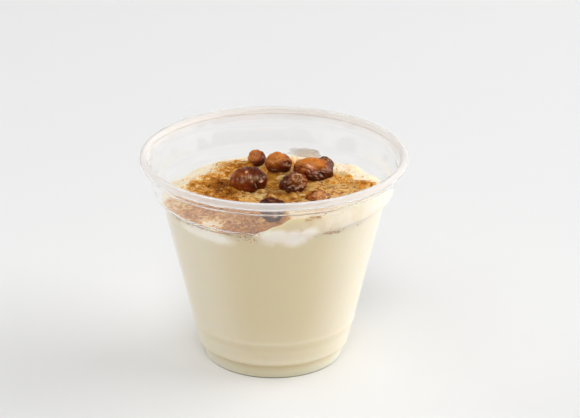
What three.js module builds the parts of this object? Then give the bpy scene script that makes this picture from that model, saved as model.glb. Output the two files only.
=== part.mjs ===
// Rice pudding in a clear dessert cup, dusted with cinnamon and topped with raisins.
// Lengths are in millimetres and angles in degrees. +Z is up, and the origin is the centre of
// the ring that the cup stands on. Azimuth 0 is +X and 90 is +Y, the back of the cup.
import * as THREE from 'three';
import { mergeVertices } from 'three/addons/utils/BufferGeometryUtils.js';

// The cup is one thin sheet. Radii and levels below are of the middle of that sheet.
const cup = {
  sides: 64,
  sheet: 0.5,
  floorRadius: 21.7,
  floorLevel: 1.75,
  standInner: 22.9,
  standOuter: 23.85,
  footTopRadius: 24.55,
  footTopLevel: 5.3,
  coneStart: 6.9,
  coneRadius: 24.82, // where the cone's line meets the ground
  coneSlope: 0.2291,
  shoulderLevel: 59.2,
  shoulderRise: 2.3,
  shoulderRadius: 40.95,
  bandTopLevel: 68.9,
  bandTopRadius: 42.5,
  lidStep: 0.45,
  rollRadius: 1.15,
  rollCentreRadius: 44.6,
  rollCentreLevel: 72.72,
  rollEnd: -100,
  rollSteps: 7,
};

// The pudding fills the cup to a line that wanders: low at the back, high at the front right.
const fit = 0.3; // clear space between the cup and the pudding
const pocketGap = 0.48; // clear space round a raisin's ellipsoid
const pudding = {
  rings: 25,
  centreLevel: 61.2,
  edgeCurl: 3, // how late the surface turns up or down to the wall
  edgeCalm: 12, // how late its heaps and grains die away before the wall
  rowSpace: 0.35, // least height between two rows of points down the wall
  baseLevel: cup.floorLevel + cup.sheet / 2 + fit,
};
const contactLine = [
  { azimuth: 0, level: 60.3 },
  { azimuth: 16, level: 59.4 },
  { azimuth: 38, level: 58.9 },
  { azimuth: 60, level: 58.0 },
  { azimuth: 123, level: 57.8 },
  { azimuth: 156, level: 57.0 },
  { azimuth: 180, level: 58.4 },
  { azimuth: 202, level: 59.9 },
  { azimuth: 248, level: 59.5 },
  { azimuth: 258, level: 60.1 },
  { azimuth: 265, level: 62.7 },
  { azimuth: 271, level: 64.4 },
  { azimuth: 279, level: 67.6 },
  { azimuth: 300, level: 68.6 },
  { azimuth: 334, level: 68.4 },
  { azimuth: 349, level: 63.6 },
];
const contactWave = { height: 0.25, turns: [7, 12, 19] };

// Soft heaps and hollows of the spooned surface.
const swells = [
  { x: -26, y: 9, height: 1.4, spread: 4.2 },
  { x: -15.5, y: 20, height: 1.3, spread: 4.4 },
  { x: -29, y: -6, height: 0.9, spread: 4.0 },
  { x: -15, y: -12, height: 0.9, spread: 4.6 },
  { x: -4, y: 12, height: -0.6, spread: 4.6 },
  { x: 3, y: 4, height: -0.8, spread: 4.8 },
  { x: 0, y: -12, height: -0.5, spread: 4.2 },
  { x: 29.5, y: 13, height: 1.6, spread: 4.2 },
  { x: 31.5, y: 1.5, height: 1.3, spread: 3.4 },
  { x: 22, y: -3, height: 0.7, spread: 3.8 },
  { x: 5, y: 29, height: 0.7, spread: 4.0 },
  { x: -2, y: -26, height: -0.7, spread: 5.0 },
];

// Cooked grains lie just under the skin and lift it.
const rice = {
  count: 170,
  seed: 61,
  length: 6.6,
  width: 3.0,
  smallest: 0.85, // share of that size
  largest: 1.15,
  height: 0.95,
  deepest: 0.5, // share of that height which the deepest grain keeps
  reach: 36,
};

// Each raisin is an ellipsoid with folds. half: half sizes. turn: about +Z. tilt: lifts its +X end.
const raisinFolds = {
  depth: 0.1,
  endShare: 0.25, // share of that depth at the two ends
  bend: 1.5,
  bendRate: 2.4,
  shift: 1.9, // from one raisin to the next
  detail: 3, // subdivisions of the ball
};
const raisins = [
  { centre: [-8.6, -1.8, 64.4], half: [6.4, 5.6, 4.9], turn: -12, tilt: 0, folds: 5 },
  { centre: [-6.0, 22.6, 62.7], half: [3.15, 3.2, 3.3], turn: 30, tilt: 12, folds: 4 },
  { centre: [1.7, 15.6, 63.8], half: [4.7, 4.4, 4.0], turn: 15, tilt: -14, folds: 5 },
  { centre: [13.8, 8.6, 64.1], half: [7.0, 5.1, 4.5], turn: 8, tilt: -14, folds: 5 },
  { centre: [6.7, -3.0, 63.8], half: [5.0, 4.3, 3.7], turn: 24, tilt: 16, folds: 6 },
  { centre: [0.5, -26.5, 64.0], half: [6.0, 4.3, 3.8], turn: -14, tilt: -22, folds: 5 },
  { centre: [14.8, -14.6, 62.5], half: [4.7, 3.9, 3.3], turn: 14, tilt: 9, folds: 6 },
  { centre: [17.6, 18.2, 62.5], half: [3.4, 2.8, 2.7], turn: -20, tilt: -6, folds: 5 },
];

const tau = 2 * Math.PI;
const degree = Math.PI / 180;

// A small repeatable generator of numbers from 0 to 1.
function makeRandom(seed) {
  let state = seed;
  return () => {
    state = (Math.imul(state, 1664525) + 1013904223) >>> 0;
    return state / 4294967296;
  };
}

function coneAt(level) {
  return cup.coneRadius + cup.coneSlope * level;
}

// The middle of the sheet in section, from the axis under the floor to the tip of the rim roll.
function cupMiddle() {
  const line = [
    [0, cup.floorLevel],
    [cup.floorRadius, cup.floorLevel],
    [cup.standInner, cup.sheet / 2],
    [cup.standOuter, cup.sheet / 2],
    [cup.footTopRadius, cup.footTopLevel],
    [coneAt(cup.coneStart) - cup.sheet / 2, cup.footTopLevel + cup.sheet],
    [coneAt(cup.coneStart), cup.coneStart],
    [coneAt(cup.shoulderLevel), cup.shoulderLevel],
    [cup.shoulderRadius, cup.shoulderLevel + cup.shoulderRise],
    [cup.bandTopRadius, cup.bandTopLevel],
    [cup.bandTopRadius + cup.lidStep, cup.bandTopLevel + cup.lidStep],
  ];
  for (let i = 0; i <= cup.rollSteps; i += 1) {
    const angle = (180 + ((cup.rollEnd - 180) * i) / cup.rollSteps) * degree;
    const radius = cup.rollCentreRadius + cup.rollRadius * Math.cos(angle);
    line.push([radius, cup.rollCentreLevel + cup.rollRadius * Math.sin(angle)]);
  }
  return line.map(([radius, level]) => new THREE.Vector2(radius, level));
}

// The same line moved sideways, with its corners mitred. Positive is towards the contents.
function besideLine(line, distance) {
  return line.map((point, i) => {
    const before = line[Math.max(i - 1, 0)];
    const after = line[Math.min(i + 1, line.length - 1)];
    const into = (i === 0 ? after.clone().sub(point) : point.clone().sub(before)).normalize();
    const out = (i === line.length - 1 ? into.clone() : after.clone().sub(point)).normalize();
    const normal = new THREE.Vector2(-into.y - out.y, into.x + out.x).normalize();
    const mitre = normal.dot(new THREE.Vector2(-into.y, into.x));
    return point.clone().addScaledVector(normal, distance / mitre);
  });
}

function cupGeometry() {
  const middle = cupMiddle();
  const outside = besideLine(middle, -cup.sheet / 2);
  const inside = besideLine(middle, cup.sheet / 2).reverse();
  return new THREE.LatheGeometry([...outside, ...inside], cup.sides).rotateX(Math.PI / 2);
}

// The pudding's side in section: it follows the wall from the foot up. Its five corners are the
// top of the foot, the two of the ledge and the two of the shoulder.
const wallLine = besideLine(cupMiddle(), cup.sheet / 2 + fit).slice(3);
const cornerLevels = wallLine.slice(1, 6).map((point) => point.y).reverse();

// Radius of the pudding where it faces the wall at this level.
function wallRadius(level) {
  const above = wallLine.findIndex((point) => point.y > level);
  const high = wallLine[above];
  const low = wallLine[above - 1];
  return THREE.MathUtils.mapLinear(level, low.y, high.y, low.x, high.x);
}

function contactLevel(azimuth) {
  const place = THREE.MathUtils.euclideanModulo(azimuth / degree, 360);
  const after = contactLine.findIndex((point) => point.azimuth > place);
  const next = contactLine[Math.max(after, 0)];
  const last = contactLine[after < 0 ? contactLine.length - 1 : after - 1];
  const span = THREE.MathUtils.euclideanModulo(next.azimuth - last.azimuth, 360);
  const share = THREE.MathUtils.smoothstep((place - last.azimuth) / span, 0, 1);
  const wave = contactWave.turns.reduce((sum, turns) => sum + Math.sin(turns * azimuth + turns), 0);
  return THREE.MathUtils.lerp(last.level, next.level, share) + contactWave.height * wave;
}

function makeRice() {
  const random = makeRandom(rice.seed);
  return Array.from({ length: rice.count }, () => {
    const radius = rice.reach * Math.sqrt(random());
    const azimuth = tau * random();
    const heading = Math.PI * random();
    const size = THREE.MathUtils.lerp(rice.smallest, rice.largest, random());
    return {
      x: radius * Math.cos(azimuth),
      y: radius * Math.sin(azimuth),
      along: [Math.cos(heading), Math.sin(heading)],
      halfLength: (rice.length * size) / 2,
      halfWidth: (rice.width * size) / 2,
      height: rice.height * THREE.MathUtils.lerp(rice.deepest, 1, random()),
    };
  });
}
const grains = makeRice();

function grainLift(x, y) {
  return grains.reduce((most, grain) => {
    const dx = x - grain.x;
    const dy = y - grain.y;
    const along = (dx * grain.along[0] + dy * grain.along[1]) / grain.halfLength;
    const across = (dy * grain.along[0] - dx * grain.along[1]) / grain.halfWidth;
    return Math.max(most, grain.height * (1 - along * along - across * across));
  }, 0);
}

function swellLift(x, y) {
  return swells.reduce((sum, swell) => {
    const distance = Math.hypot(x - swell.x, y - swell.y) / swell.spread;
    return sum + swell.height * Math.exp(-0.5 * distance * distance);
  }, 0);
}

function raisinTurn(raisin) {
  const turn = new THREE.Matrix4().makeRotationZ(raisin.turn * degree);
  return turn.multiply(new THREE.Matrix4().makeRotationY(-raisin.tilt * degree));
}

// From the part's frame to a ball of radius 1 for the raisin's ellipsoid, grown by the gap.
const raisinBalls = raisins.map((raisin) => {
  const grown = raisin.half.map((half) => half + pocketGap);
  return raisinTurn(raisin)
    .setPosition(...raisin.centre)
    .scale(new THREE.Vector3(...grown))
    .invert();
});

// Level of the lowest grown raisin over this spot, so that each one lies in a pocket of its own.
function pocketLevel(x, y) {
  return raisinBalls.reduce((lowest, ball) => {
    const start = new THREE.Vector3(x, y, 0).applyMatrix4(ball);
    const step = new THREE.Vector3(x, y, 1).applyMatrix4(ball).sub(start);
    const a = step.dot(step);
    const b = start.dot(step);
    const room = b * b - a * (start.dot(start) - 1);
    return room > 0 ? Math.min(lowest, (-b - Math.sqrt(room)) / a) : lowest;
  }, Infinity);
}

// The surface at a share of the way from the axis to the wall.
function topPoint(share, azimuth) {
  const edgeLevel = contactLevel(azimuth);
  const edgeRadius = wallRadius(edgeLevel);
  const x = share * edgeRadius * Math.cos(azimuth);
  const y = share * edgeRadius * Math.sin(azimuth);
  const sweep = THREE.MathUtils.lerp(pudding.centreLevel, edgeLevel, share ** pudding.edgeCurl);
  const calm = 1 - share ** pudding.edgeCalm;
  const level = sweep + calm * (swellLift(x, y) + grainLift(x, y));
  return [x, y, Math.min(level, pocketLevel(x, y))];
}

// Points of one column down the wall, from just under the contact line to the base.
function wallColumn(azimuth) {
  const edgeLevel = contactLevel(azimuth);
  const levels = cornerLevels.map((corner, i) => Math.min(corner, edgeLevel - (i + 1) * pudding.rowSpace));
  const points = [...levels, pudding.baseLevel].map((level) => [wallRadius(level), level]);
  return points.map(([radius, level]) => [radius * Math.cos(azimuth), radius * Math.sin(azimuth), level]);
}

// The surface is a disc of rings round a middle point, and the k-th ring has 6 k points.
function addSurface(points, faces) {
  points.push(topPoint(0, 0));
  for (let ring = 1; ring <= pudding.rings; ring += 1) {
    const innerCount = Math.max(6 * (ring - 1), 1);
    const outerCount = 6 * ring;
    const inner = points.length - innerCount;
    const outer = points.length;
    for (let i = 0; i < outerCount; i += 1) {
      points.push(topPoint(ring / pudding.rings, (tau * i) / outerCount));
      const place = i - Math.floor(i / ring);
      const near = inner + (place % innerCount);
      const beyond = inner + ((place + 1) % innerCount);
      const next = outer + ((i + 1) % outerCount);
      faces.push(outer + i, next, near);
      if (i % ring < ring - 1) {
        faces.push(next, beyond, near);
      }
    }
  }
}

// Rows of points go down the wall from the last ring and close on the middle of the base.
function addWallAndBase(points, faces) {
  const columns = 6 * pudding.rings;
  const rows = cornerLevels.length + 1;
  const edge = points.length - columns;
  const below = points.length;
  for (let i = 0; i < columns; i += 1) {
    points.push(...wallColumn((tau * i) / columns));
  }
  const middle = points.length;
  points.push([0, 0, pudding.baseLevel]);
  const corner = (column, row) => {
    const place = column % columns;
    return row === 0 ? edge + place : below + place * rows + row - 1;
  };
  for (let i = 0; i < columns; i += 1) {
    for (let row = 0; row < rows; row += 1) {
      faces.push(corner(i, row), corner(i, row + 1), corner(i + 1, row + 1));
      faces.push(corner(i, row), corner(i + 1, row + 1), corner(i + 1, row));
    }
    faces.push(middle, corner(i + 1, rows), corner(i, rows));
  }
}

function puddingGeometry() {
  const points = [];
  const faces = [];
  addSurface(points, faces);
  addWallAndBase(points, faces);
  const geometry = new THREE.BufferGeometry();
  geometry.setAttribute('position', new THREE.Float32BufferAttribute(points.flat(), 3));
  geometry.setIndex(faces);
  geometry.computeVertexNormals();
  return geometry;
}

// A ball pulled in along folds that run from end to end and bend on the way.
function raisinGeometry(raisin, index) {
  const ball = new THREE.IcosahedronGeometry(1, raisinFolds.detail);
  ball.deleteAttribute('normal');
  ball.deleteAttribute('uv');
  const geometry = mergeVertices(ball);
  const position = geometry.getAttribute('position');
  const point = new THREE.Vector3();
  for (let i = 0; i < position.count; i += 1) {
    point.fromBufferAttribute(position, i).normalize();
    const around = Math.atan2(point.y, point.z);
    const bend = raisinFolds.bend * Math.sin(raisinFolds.bendRate * point.x + raisinFolds.shift * index);
    const crease = Math.cos((raisin.folds * around + bend) / 2) ** 4;
    const share = THREE.MathUtils.lerp(1, raisinFolds.endShare, point.x * point.x);
    point.multiplyScalar(1 - raisinFolds.depth * crease * share);
    position.setXYZ(i, point.x, point.y, point.z);
  }
  geometry.scale(...raisin.half);
  geometry.applyMatrix4(raisinTurn(raisin));
  geometry.computeVertexNormals();
  return geometry;
}

function raisinMesh(raisin, index) {
  const skin = new THREE.MeshStandardMaterial({ color: 0x5a2811, roughness: 0.3, metalness: 0 });
  const mesh = new THREE.Mesh(raisinGeometry(raisin, index), skin);
  mesh.name = `raisin_${index + 1}`;
  mesh.position.set(...raisin.centre);
  return mesh;
}

const clearPlastic = new THREE.MeshStandardMaterial({
  color: 0xf4f6f6,
  roughness: 0.06,
  metalness: 0,
  transparent: true,
  opacity: 0.3,
});
const creamyRice = new THREE.MeshStandardMaterial({ color: 0xe4d6b4, roughness: 0.35, metalness: 0 });

const cupMesh = new THREE.Mesh(cupGeometry(), clearPlastic);
cupMesh.name = 'cup';
const puddingMesh = new THREE.Mesh(puddingGeometry(), creamyRice);
puddingMesh.name = 'pudding';

const dessert = new THREE.Group();
dessert.add(cupMesh, puddingMesh, ...raisins.map(raisinMesh));

export default dessert;
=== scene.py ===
# Rice pudding in a clear dessert cup: fine meshes, finishes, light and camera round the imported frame.
# Sizes are in millimetres and turned to metres by mm. +Z is up and +Y is the back of the cup.
import math

import bmesh
import bpy
import numpy as np
from mathutils import Matrix, Quaternion, Vector, noise


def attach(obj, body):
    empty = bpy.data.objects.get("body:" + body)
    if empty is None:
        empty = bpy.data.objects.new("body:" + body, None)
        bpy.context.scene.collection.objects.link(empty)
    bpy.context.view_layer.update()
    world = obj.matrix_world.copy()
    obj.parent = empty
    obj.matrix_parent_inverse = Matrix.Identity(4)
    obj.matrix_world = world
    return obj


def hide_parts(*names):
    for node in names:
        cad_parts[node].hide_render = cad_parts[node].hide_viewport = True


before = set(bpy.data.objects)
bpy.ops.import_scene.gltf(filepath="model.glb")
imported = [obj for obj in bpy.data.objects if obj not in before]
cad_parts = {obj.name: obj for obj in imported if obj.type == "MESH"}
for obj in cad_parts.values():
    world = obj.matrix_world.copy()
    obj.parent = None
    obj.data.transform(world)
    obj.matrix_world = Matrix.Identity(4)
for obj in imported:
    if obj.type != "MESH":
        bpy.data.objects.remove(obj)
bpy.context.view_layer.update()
print("frame loaded:", len(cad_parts), "nodes")

mm = 0.001
tau = 2 * math.pi
axisZ = (0, 0, 1)
origin = (0, 0, 0)
softEdge = {"interpolation_type": "SMOOTHSTEP"}
lightInside = {"subsurface_method": "RANDOM_WALK"}


def srgb(hexText):  # an sRGB hex value as the linear colour that a shader wants
    shares = [int(hexText[i:i + 2], 16) / 255 for i in (1, 3, 5)]
    return [c / 12.92 if c <= 0.04045 else ((c + 0.055) / 1.055) ** 2.4 for c in shares] + [1]


def perMm(size):  # texture scale that gives a pattern of this size in millimetres
    return 1 / (size * mm)


def lightUnder(share, *depths):  # how much light spreads under the surface, and how far by colour, in mm
    return {"Subsurface Weight": share, "Subsurface Radius": depths, "Subsurface Scale": mm}


def smoothStep(low, high, value):
    share = np.clip((value - low) / (high - low), 0, 1)
    return share * share * (3 - 2 * share)


def bell(away, width):  # 1 in the middle, falling off softly over this width
    return np.exp(-(away / width) ** 2)


def addNode(tree, kind, settings={}, inputs={}, stops=()):  # an input is a value, a socket or a whole node
    node = tree.nodes.new("ShaderNode" + kind)
    for name, value in settings.items():
        setattr(node, name, value)
    for name, value in inputs.items():
        if isinstance(value, bpy.types.Node):
            value = next(socket for socket in value.outputs if socket.enabled)
        if isinstance(value, bpy.types.NodeSocket):
            tree.links.new(value, node.inputs[name])
        else:
            node.inputs[name].default_value = value
    for i, (place, colour) in enumerate(stops):
        stop = node.color_ramp.elements[i] if i < 2 else node.color_ramp.elements.new(place)
        stop.position = place
        stop.color = srgb(colour)
    return node


# What the mesh says about each point, such as how much cinnamon lies there, comes as shares. Each pattern has
# a size in millimetres and a detail, and surface adds the shader from both.
def makeMaterial(name, look, surface):
    material = bpy.data.materials.new(name)
    material.use_nodes = True
    tree = material.node_tree
    tree.nodes.clear()
    place = addNode(tree, "TexCoord").outputs["Object"]
    share = {
        key: addNode(tree, "Attribute", {"attribute_name": key}).outputs["Fac"] for key in look["shares"]}
    pattern = {
        key: addNode(tree, "TexNoise", {}, {"Vector": place, "Scale": perMm(size), "Detail": detail})
        for key, (size, detail) in look["patterns"].items()}
    addNode(tree, "OutputMaterial", {}, {"Surface": surface(tree, look, share, pattern)})
    return material


def raggedShare(tree, share, pattern, ragged, low, high, most=1):  # its edge follows a pattern
    uneven = addNode(tree, "Math", {"operation": "MULTIPLY_ADD"}, {0: pattern, 1: ragged, 2: share})
    return addNode(tree, "MapRange", softEdge, {
        "Value": uneven, "From Min": low + ragged / 2, "From Max": high + ragged / 2, "To Max": most})


def paintOver(tree, colour, layers):  # thin layers over a colour, each with its share and its own colour
    for share, layer in layers:
        layer = srgb(layer) if isinstance(layer, str) else layer
        colour = addNode(tree, "Mix", {"data_type": "RGBA"}, {0: share, 6: colour, 7: layer}).outputs[2]
    return colour


def readCo(mesh):
    co = np.empty(len(mesh.vertices) * 3)
    mesh.vertices.foreach_get("co", co)
    return co.reshape(-1, 3)


def writeCo(mesh, co):
    mesh.vertices.foreach_set("co", co.ravel())
    mesh.update()


def addAttribute(mesh, name, values):
    layer = mesh.attributes.new(name, "FLOAT", "POINT")
    layer.data.foreach_set("value", np.asarray(values, np.float32))


def newPiece(name, mesh, material):
    mesh.shade_smooth()
    mesh.materials.append(material)
    piece = bpy.data.objects.new(name, mesh)
    bpy.context.scene.collection.objects.link(piece)
    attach(piece, "root")
    return piece


def finishMesh(name, bm):
    mesh = bpy.data.meshes.new(name)
    bm.to_mesh(mesh)
    bm.free()
    return mesh


def ballMesh(name, detail):
    bm = bmesh.new()
    bmesh.ops.create_icosphere(bm, subdivisions=detail, radius=1)
    return finishMesh(name, bm)


def spunMesh(name, section, sides, merge):  # a section of (radius, level) points turned round the axis
    bm = bmesh.new()
    verts = [bm.verts.new((p.x * mm, 0, p.y * mm)) for p in section]
    edges = [bm.edges.new(pair) for pair in zip(verts, verts[1:])]
    bmesh.ops.spin(bm, geom=verts + edges, cent=origin, axis=axisZ, angle=tau, steps=sides, use_merge=True)
    bmesh.ops.remove_doubles(bm, verts=bm.verts, dist=merge * mm)
    bmesh.ops.recalc_face_normals(bm, faces=bm.faces)
    return finishMesh(name, bm)


def lumpNoise(points, size, seed):  # smooth noise from -1 to 1 with features of this size
    shift = Vector((seed * 17.3, seed * 7.7, seed * 3.1))
    return np.array([noise.noise(Vector(p) / size + shift) for p in points])


def flatPoints(x, y):
    return np.stack([x, y, np.zeros_like(x)], -1)


def azimuthAt(x, y):  # in degrees, anticlockwise from the right as seen from above
    return np.degrees(np.arctan2(y, x))


def turnFrom(middle, azimuth):  # from -180 to 180 degrees
    return (azimuth - middle + 180) % 360 - 180


cupShape = {
    "sheet": 0.5,
    "floorRadius": 21.7, "floorLevel": 1.75,
    "standInner": 22.9, "standOuter": 23.85,
    "footTopRadius": 24.55, "footTopLevel": 5.3,
    "coneStart": 6.9, "coneRadius": 24.82, "coneSlope": 0.2291,
    "beadLow": 13.4, "beadHigh": 15.8, "beadHeight": 0.3,
    "shoulderLevel": 59.2, "shoulderRise": 2.3, "shoulderRadius": 40.95,
    "bandTopLevel": 68.9, "bandTopRadius": 42.5, "lidStep": 0.45,
    "rollRadius": 1.15, "rollCentreRadius": 44.52, "rollCentreLevel": 72.72,
    "rollStart": 180, "rollEnd": -100, "rollSteps": 14,
    "corner": 0.8, "cornerShare": 2.2, "cornerSteps": 5, "longest": 2, "sides": 192, "merge": 0.005,
}
rimLightAndMilkFilm = {
    "from": 70.6, "to": 71.6,  # levels between which the whitish painted light in the roll sets in
    "creases": [(61.4, 0.8, 0.1), (69.2, 0.6, 0.15)],  # level, half height and amount of painted highlight along the sharp bends
    "film": 0.28, "filmLow": 58.5, "filmHigh": 70, "filmFade": 1,  # thin milk on the wall
    "filmMiddle": 228, "filmReach": 40, "filmPower": 4,
}


def coneAt(level):
    return cupShape["coneRadius"] + cupShape["coneSlope"] * level


def cupCorners():  # corners of the middle of the sheet, from the axis up to the rim's roll
    c = cupShape
    half = c["sheet"] / 2
    beadMiddle = (c["beadLow"] + c["beadHigh"]) / 2
    return [
        (0, c["floorLevel"]),
        (c["floorRadius"], c["floorLevel"]),
        (c["standInner"], half),
        (c["standOuter"], half),
        (c["footTopRadius"], c["footTopLevel"]),
        (coneAt(c["coneStart"]) - half, c["footTopLevel"] + c["sheet"]),
        (coneAt(c["coneStart"]), c["coneStart"]),
        (coneAt(c["beadLow"]), c["beadLow"]),
        (coneAt(beadMiddle) + c["beadHeight"], beadMiddle),
        (coneAt(c["beadHigh"]), c["beadHigh"]),
        (coneAt(c["shoulderLevel"]), c["shoulderLevel"]),
        (c["shoulderRadius"], c["shoulderLevel"] + c["shoulderRise"]),
        (c["bandTopRadius"], c["bandTopLevel"]),
        (c["bandTopRadius"] + c["lidStep"], c["bandTopLevel"] + c["lidStep"]),
        (c["rollCentreRadius"] - c["rollRadius"], c["rollCentreLevel"]),
    ]


def roundedLine(corners):  # every inner corner becomes a short arc, and long stretches get more points
    c = cupShape
    line = [Vector(corners[0])]
    for before, here, after in zip(corners, corners[1:], corners[2:]):
        before, here, after = Vector(before), Vector(here), Vector(after)
        shortest = min((here - before).length / c["cornerShare"], (after - here).length / c["cornerShare"])
        reach = min(c["corner"], shortest)
        start = here + (before - here).normalized() * reach
        end = here + (after - here).normalized() * reach
        for i in range(c["cornerSteps"] + 1):
            t = i / c["cornerSteps"]
            line.append(start * (1 - t) ** 2 + here * (2 * t * (1 - t)) + end * t ** 2)
    line.append(Vector(corners[-1]))
    filled = [line[0]]
    for point in line[1:]:
        pieces = max(1, math.ceil((point - filled[-1]).length / c["longest"]))
        start = filled[-1]
        filled += [start.lerp(point, i / pieces) for i in range(1, pieces + 1)]
    return filled


def cupMiddle():  # the whole line, with the roll
    c = cupShape
    line = roundedLine(cupCorners())
    for i in range(1, c["rollSteps"] + 1):
        angle = math.radians(c["rollStart"] + (c["rollEnd"] - c["rollStart"]) * i / c["rollSteps"])
        line.append(Vector((c["rollCentreRadius"] + c["rollRadius"] * math.cos(angle),
                            c["rollCentreLevel"] + c["rollRadius"] * math.sin(angle))))
    return line


def besideLine(line, distance):  # the line moved sideways, positive towards the contents
    moved = []
    for i, point in enumerate(line):
        into = (point - line[i - 1]).normalized() if i else (line[1] - point).normalized()
        out = (line[i + 1] - point).normalized() if i < len(line) - 1 else into
        normal = Vector((-into.y - out.y, into.x + out.x)).normalized()
        moved.append(point + normal * (distance / normal.dot(Vector((-into.y, into.x)))))
    return moved


petSheet = {
    "tint": "#FEFEFD", "sockets": {"Roughness": 0.035, "IOR": 1.5, "Transmission Weight": 1},
    "shares": ["rimLightAndFilm"], "patterns": {"waver": (9, 2)}, "bump": {"Strength": 0.05, "Distance": 1 * mm},
    "haze": "#F4EEEA", "rollPaintedLight": 0.28, "wallHaze": 0.03,
    "reflections": 2.5, "turns": 10,  # a ray that met more than these goes straight through
}


# PET, thermoformed from sheet: glass-clear, very smooth, with faint waves where the sheet stretched. The
# whitish diffuse share in the curled rim and along the sharp bends is painted light, standing in for the
# bright room that the curled sheet bends and reflects.
def petSurface(tree, look, share, pattern):
    bump = addNode(tree, "Bump", {}, {"Height": pattern["waver"], **look["bump"]})
    clear = addNode(tree, "BsdfPrincipled", {}, {
        "Base Color": srgb(look["tint"]), "Normal": bump, **look["sockets"]})
    whitish = addNode(tree, "BsdfDiffuse", {}, {"Color": srgb(look["haze"])})
    # painted light: the whitish diffuse share brightens the roll and the bends as the bent and reflected room
    # would, and lower down it is the milk film
    whitishShare = addNode(tree, "MapRange", {}, {
        "Value": share["rimLightAndFilm"], "To Min": look["wallHaze"], "To Max": look["rollPaintedLight"]})
    sheet = addNode(tree, "MixShader", {}, {0: whitishShare, 1: clear, 2: whitish})
    through = addNode(tree, "BsdfTransparent", {}, {"Color": srgb(look["tint"])})
    path = addNode(tree, "LightPath").outputs
    lost = [addNode(tree, "Math", {"operation": "GREATER_THAN"}, {0: path[depth], 1: look[most]})
            for depth, most in (("Glossy Depth", "reflections"), ("Ray Depth", "turns"))]
    straight = path["Is Shadow Ray"]
    for other in (path["Is Diffuse Ray"], *lost):
        straight = addNode(tree, "Math", {"operation": "MAXIMUM"}, {0: straight, 1: other})
    return addNode(tree, "MixShader", {}, {0: straight, 1: sheet, 2: through})


def rimLightAndFilmShares(co):  # whitish painted light in the roll and along the two sharp bends, and thin milk where it has run down
    b = rimLightAndMilkFilm
    level = co[:, 2]
    roll = smoothStep(b["from"], b["to"], level)
    bends = sum(most * bell(level - z, half) for z, half, most in b["creases"])
    away = turnFrom(b["filmMiddle"], azimuthAt(co[:, 0], co[:, 1]))
    film = b["film"] * np.exp(-(away / b["filmReach"]) ** b["filmPower"])
    film *= smoothStep(b["filmLow"] - b["filmFade"], b["filmLow"] + b["filmFade"], level)
    film *= smoothStep(b["filmHigh"] + b["filmFade"], b["filmHigh"] - b["filmFade"], level)
    return np.maximum(np.maximum(roll, bends), film)


def makeCup():  # the closed sheet, with its own inner and outer face
    middle = cupMiddle()
    section = besideLine(middle, -cupShape["sheet"] / 2) + besideLine(middle, cupShape["sheet"] / 2)[::-1]
    mesh = spunMesh("clearCup", section, cupShape["sides"], cupShape["merge"])
    addAttribute(mesh, "rimLightAndFilm", rimLightAndFilmShares(readCo(mesh) / mm))
    material = makeMaterial("petThermoformedClear", petSheet, petSurface)
    cup = newPiece("clearCup", mesh, material)
    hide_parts("cup")
    return cup


cup = makeCup()
print("cup:", len(cup.data.polygons), "faces")


puddingShape = {
    "centreLevel": 61.2, "edgeCurl": 3, "edgeCalm": 12,
    "intoWall": 0.12,  # how far it reaches into the cup's sheet, so that no air shows between
    "squeeze": 1,  # rows of the wall above the contact line end up in this height
    "rings": 160, "columns": 370, "drumLevel": 76, "drumRadius": 40, "merge": 0.003,
    "meniscus": 1.3, "meniscusReach": 1.4, "pocketInset": 1.0,
    "grainShare": 0.75,  # how much of the frame's grain relief shows through cinnamon and syrup
    "calmRelief": 0.35, "cinnamonThick": 0.9,  # syrup lies level, clotted cream and cinnamon don't
    "lump": 0.85, "lumpSize": 3.9, "clot": 0.34, "clotSize": 1.7,
    "crumbly": 0.22, "crumblySize": 0.85, "crumblyFrom": 0.3, "crumblyTo": 0.8,
}
contactLine = [  # azimuth in degrees and level where the pudding meets the wall
    (0, 60.3), (16, 59.4), (38, 58.9), (60, 58.0), (123, 57.8), (156, 57.0), (180, 58.4), (202, 59.9),
    (248, 59.5), (258, 60.1), (265, 62.7), (271, 64.4), (279, 67.6), (300, 68.6), (334, 68.4), (349, 63.6),
    (360, 60.3),
]
contactWave = {"height": 0.25, "turns": (7, 12, 19)}
swells = [  # x, y, height, spread of the soft heaps and hollows
    (-26, 9, 1.4, 4.2), (-15.5, 20, 1.3, 4.4), (-29, -6, 0.9, 4), (-15, -12, 0.9, 4.6), (-4, 12, -0.6, 4.6),
    (3, 4, -0.8, 4.8), (0, -12, -0.5, 4.2), (29.5, 13, 1.6, 4.2), (31.5, 1.5, 1.3, 3.4), (22, -3, 0.7, 3.8),
    (5, 29, 0.7, 4), (-2, -26, -0.7, 5),
]
lumps = [  # x, y, height, spread of the smaller clots and dimples between them
    (-21.8, -3.8, 0.9, 1.3), (-22.4, -0.6, -0.7, 1.2), (-19.6, 3.2, 0.6, 1.5), (-26.5, -2.5, 0.5, 1.6),
    (-24.5, 5, -0.4, 1.4), (-18.5, 11, 0.5, 1.6), (20, 4.2, 0.8, 1.2), (24.2, 8.6, 0.7, 1.5),
    (26.4, 3.5, -0.5, 1.3), (20.4, -8.6, 0.8, 1.3), (17.2, -7.8, 0.5, 1), (31.6, -0.6, 0.6, 1.4),
    (-5.8, 18.6, -1.2, 1.9), (15, -19.5, -1, 2.4), (-0.5, -32, -1.4, 1.9),
]
riceShape = {
    "count": 170, "length": 6.6, "width": 3.0, "smallest": 0.85, "largest": 1.15,
    "height": 0.95, "deepest": 0.5, "reach": 36,
    "seed": 61, "times": 1664525, "plus": 1013904223, "range": 2 ** 32,  # the frame's own draws
}
raisinFields = ("centre", "half", "turn", "tilt", "folds")  # folds along it
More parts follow.
